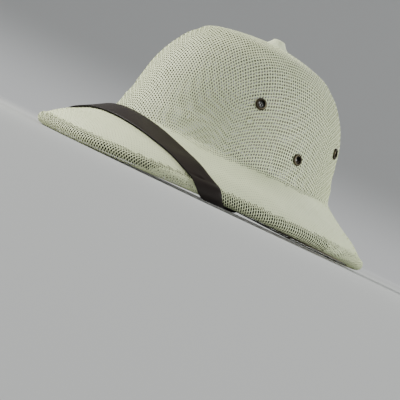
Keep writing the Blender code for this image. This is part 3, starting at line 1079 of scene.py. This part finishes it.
def make_camera():
    """The photograph's view of the hat: its bearing, lean and distance, just over the floor."""
    level = math.cos(CAMERA_HEIGHT)
    bearing = Vector((math.sin(CAMERA_BEARING), -math.cos(CAMERA_BEARING), 0))
    back = bearing * level + Vector((0, 0, math.sin(CAMERA_HEIGHT)))
    right = Vector((math.cos(CAMERA_BEARING), math.sin(CAMERA_BEARING), 0))
    up = back.cross(right)
    lean = Matrix.Rotation(CAMERA_LEAN, 3, back)
    leaning = Matrix((lean @ right, lean @ up, back)).transposed()
    middle = PICTURE_PIXELS / 2
    sight = Vector((AIM_PIXEL[0] - middle, middle - AIM_PIXEL[1], -FOCAL_PIXELS)).normalized()
    turn = sight.rotation_difference(Vector((0, 0, -1))).to_matrix()
    lens = bpy.data.cameras.new("camera")
    lens.sensor_width = SENSOR_WIDTH
    lens.lens = FOCAL_PIXELS / PICTURE_PIXELS * SENSOR_WIDTH
    lens.clip_start = 0.01
    camera = bpy.data.objects.new("camera", lens)
    bpy.context.scene.collection.objects.link(camera)
    place = Matrix.Translation(Vector(CAMERA_AIM) + back * CAMERA_DISTANCE)
    camera.matrix_world = place @ (leaning @ turn).to_4x4()
    bpy.context.scene.camera = camera


def make_light(name, energy, size, place, aim, colour):
    data = bpy.data.lights.new(name, "AREA")
    data.energy, data.size, data.color = energy, size, colour
    lamp = bpy.data.objects.new(name, data)
    bpy.context.scene.collection.objects.link(lamp)
    lamp.location = place
    lamp.rotation_euler = (Vector(place) - Vector(aim)).to_track_quat("Z", "Y").to_euler()


def floor_material():
    """Pale, with a soft glow that grows away from the hat and fades up the wall."""
    sheet = Sheet("pale_floor", Base_Color=(0.46, 0.47, 0.47), Roughness=0.9, Emission_Strength=1.0)
    away = sheet.node("ShaderNodeVectorMath", {"operation": "LENGTH"}, (sheet.place,), "Value")
    height = sheet.node("ShaderNodeSeparateXYZ", {}, (sheet.place,), "Z")
    smoothly = {"interpolation_type": "SMOOTHSTEP"}
    near = {"Value": away, "From Min": 0.5, "From Max": 2.2}
    low = {"Value": height, "From Min": 0.01, "From Max": 0.30, "To Min": 1.0, "To Max": 0.30}
    glow = sheet.node("ShaderNodeMapRange", smoothly, near)
    glow = glow * sheet.node("ShaderNodeMapRange", smoothly, low)
    sheet.set("Emission Color", sheet.blend(glow, (0, 0, 0), (0.36, 0.365, 0.37)))
    return sheet.material


def make_stage():
    """A pale floor that sweeps up into a wall far all round, and soft light from three sides."""
    profile = [(FLOOR_RADIUS, 0.0)]
    for step in range(1, COVE_STEPS + 1):
        angle = math.radians(COVE_DEGREES * step)
        out, high = COVE_RADIUS * math.sin(angle), COVE_RADIUS * (1 - math.cos(angle))
        profile.append((FLOOR_RADIUS + out, high))
    floor = turned("floor", profile[::-1], 96)
    floor.location = (0, 0, -FLOOR_DEPTH)
    deselect()
    floor.select_set(True)
    bpy.ops.object.transform_apply(location=True, rotation=True, scale=True)
    bpy.ops.object.shade_smooth_by_angle(angle=math.radians(60))
    floor.data.materials.append(floor_material())
    world = bpy.data.worlds.new("studio")
    world.use_nodes = True
    background = world.node_tree.nodes["Background"]
    background.inputs["Color"].default_value = (0.93, 0.95, 0.97, 1)
    background.inputs["Strength"].default_value = 0.25
    bpy.context.scene.world = world
    aim = (0, 0, 0.07)
    make_light("key", 48, 0.6, (-1.0, -1.1, 0.80), aim, (1.0, 0.99, 0.94))
    make_light("fill", 23.5, 0.7, (1.35, 0.85, 0.75), aim, (0.97, 1.0, 0.98))
    make_light("back", 8, 0.6, (-0.6, 1.3, 1.3), aim, (1.0, 1.0, 1.0))


def main():
    straw = straw_material()
    covered = buckram_material("white_buckram", (0.74, 0.79, 0.53), (0.83, 0.88, 0.61))
    buckram = buckram_material("stiff_buckram", (0.60, 0.64, 0.43), (0.68, 0.72, 0.50))
    lining = lining_material("cream_lining", (0.56, 0.50, 0.36), (0.66, 0.60, 0.46))
    # Near black: painted shade for the hollow behind the rim's mesh, on the backing's underside and
    # the lining's top
    shade_back = lining_material("painted_shade_back", (0.035, 0.030, 0.020), (0.060, 0.050, 0.034))
    leather = leather_material()
    edge = edge_material()
    brass = brass_material("aged_brass", (0.020, 0.016, 0.010), (0.095, 0.075, 0.045))
    worn = brass_material("worn_brass", (0.09, 0.078, 0.052), (0.22, 0.195, 0.14))
    # Near black: painted shade inside the eyelets' holes
    inside = brass_material("eyelet_hole_painted_shade", (0.010, 0.008, 0.006), (0.03, 0.024, 0.016))
    make_stage()
    make_camera()
    make_weave(straw)
    make_backing(buckram, shade_back)
    make_lining(lining, shade_back)
    make_button(covered)
    make_eyelets(brass, worn, inside)
    make_strap(leather, edge)
    for side in ("left", "right"):
        rivet = nodes[f"strap_rivet_{side}"]
        rivet.data.materials.clear()
        rivet.data.materials.append(brass)


main()
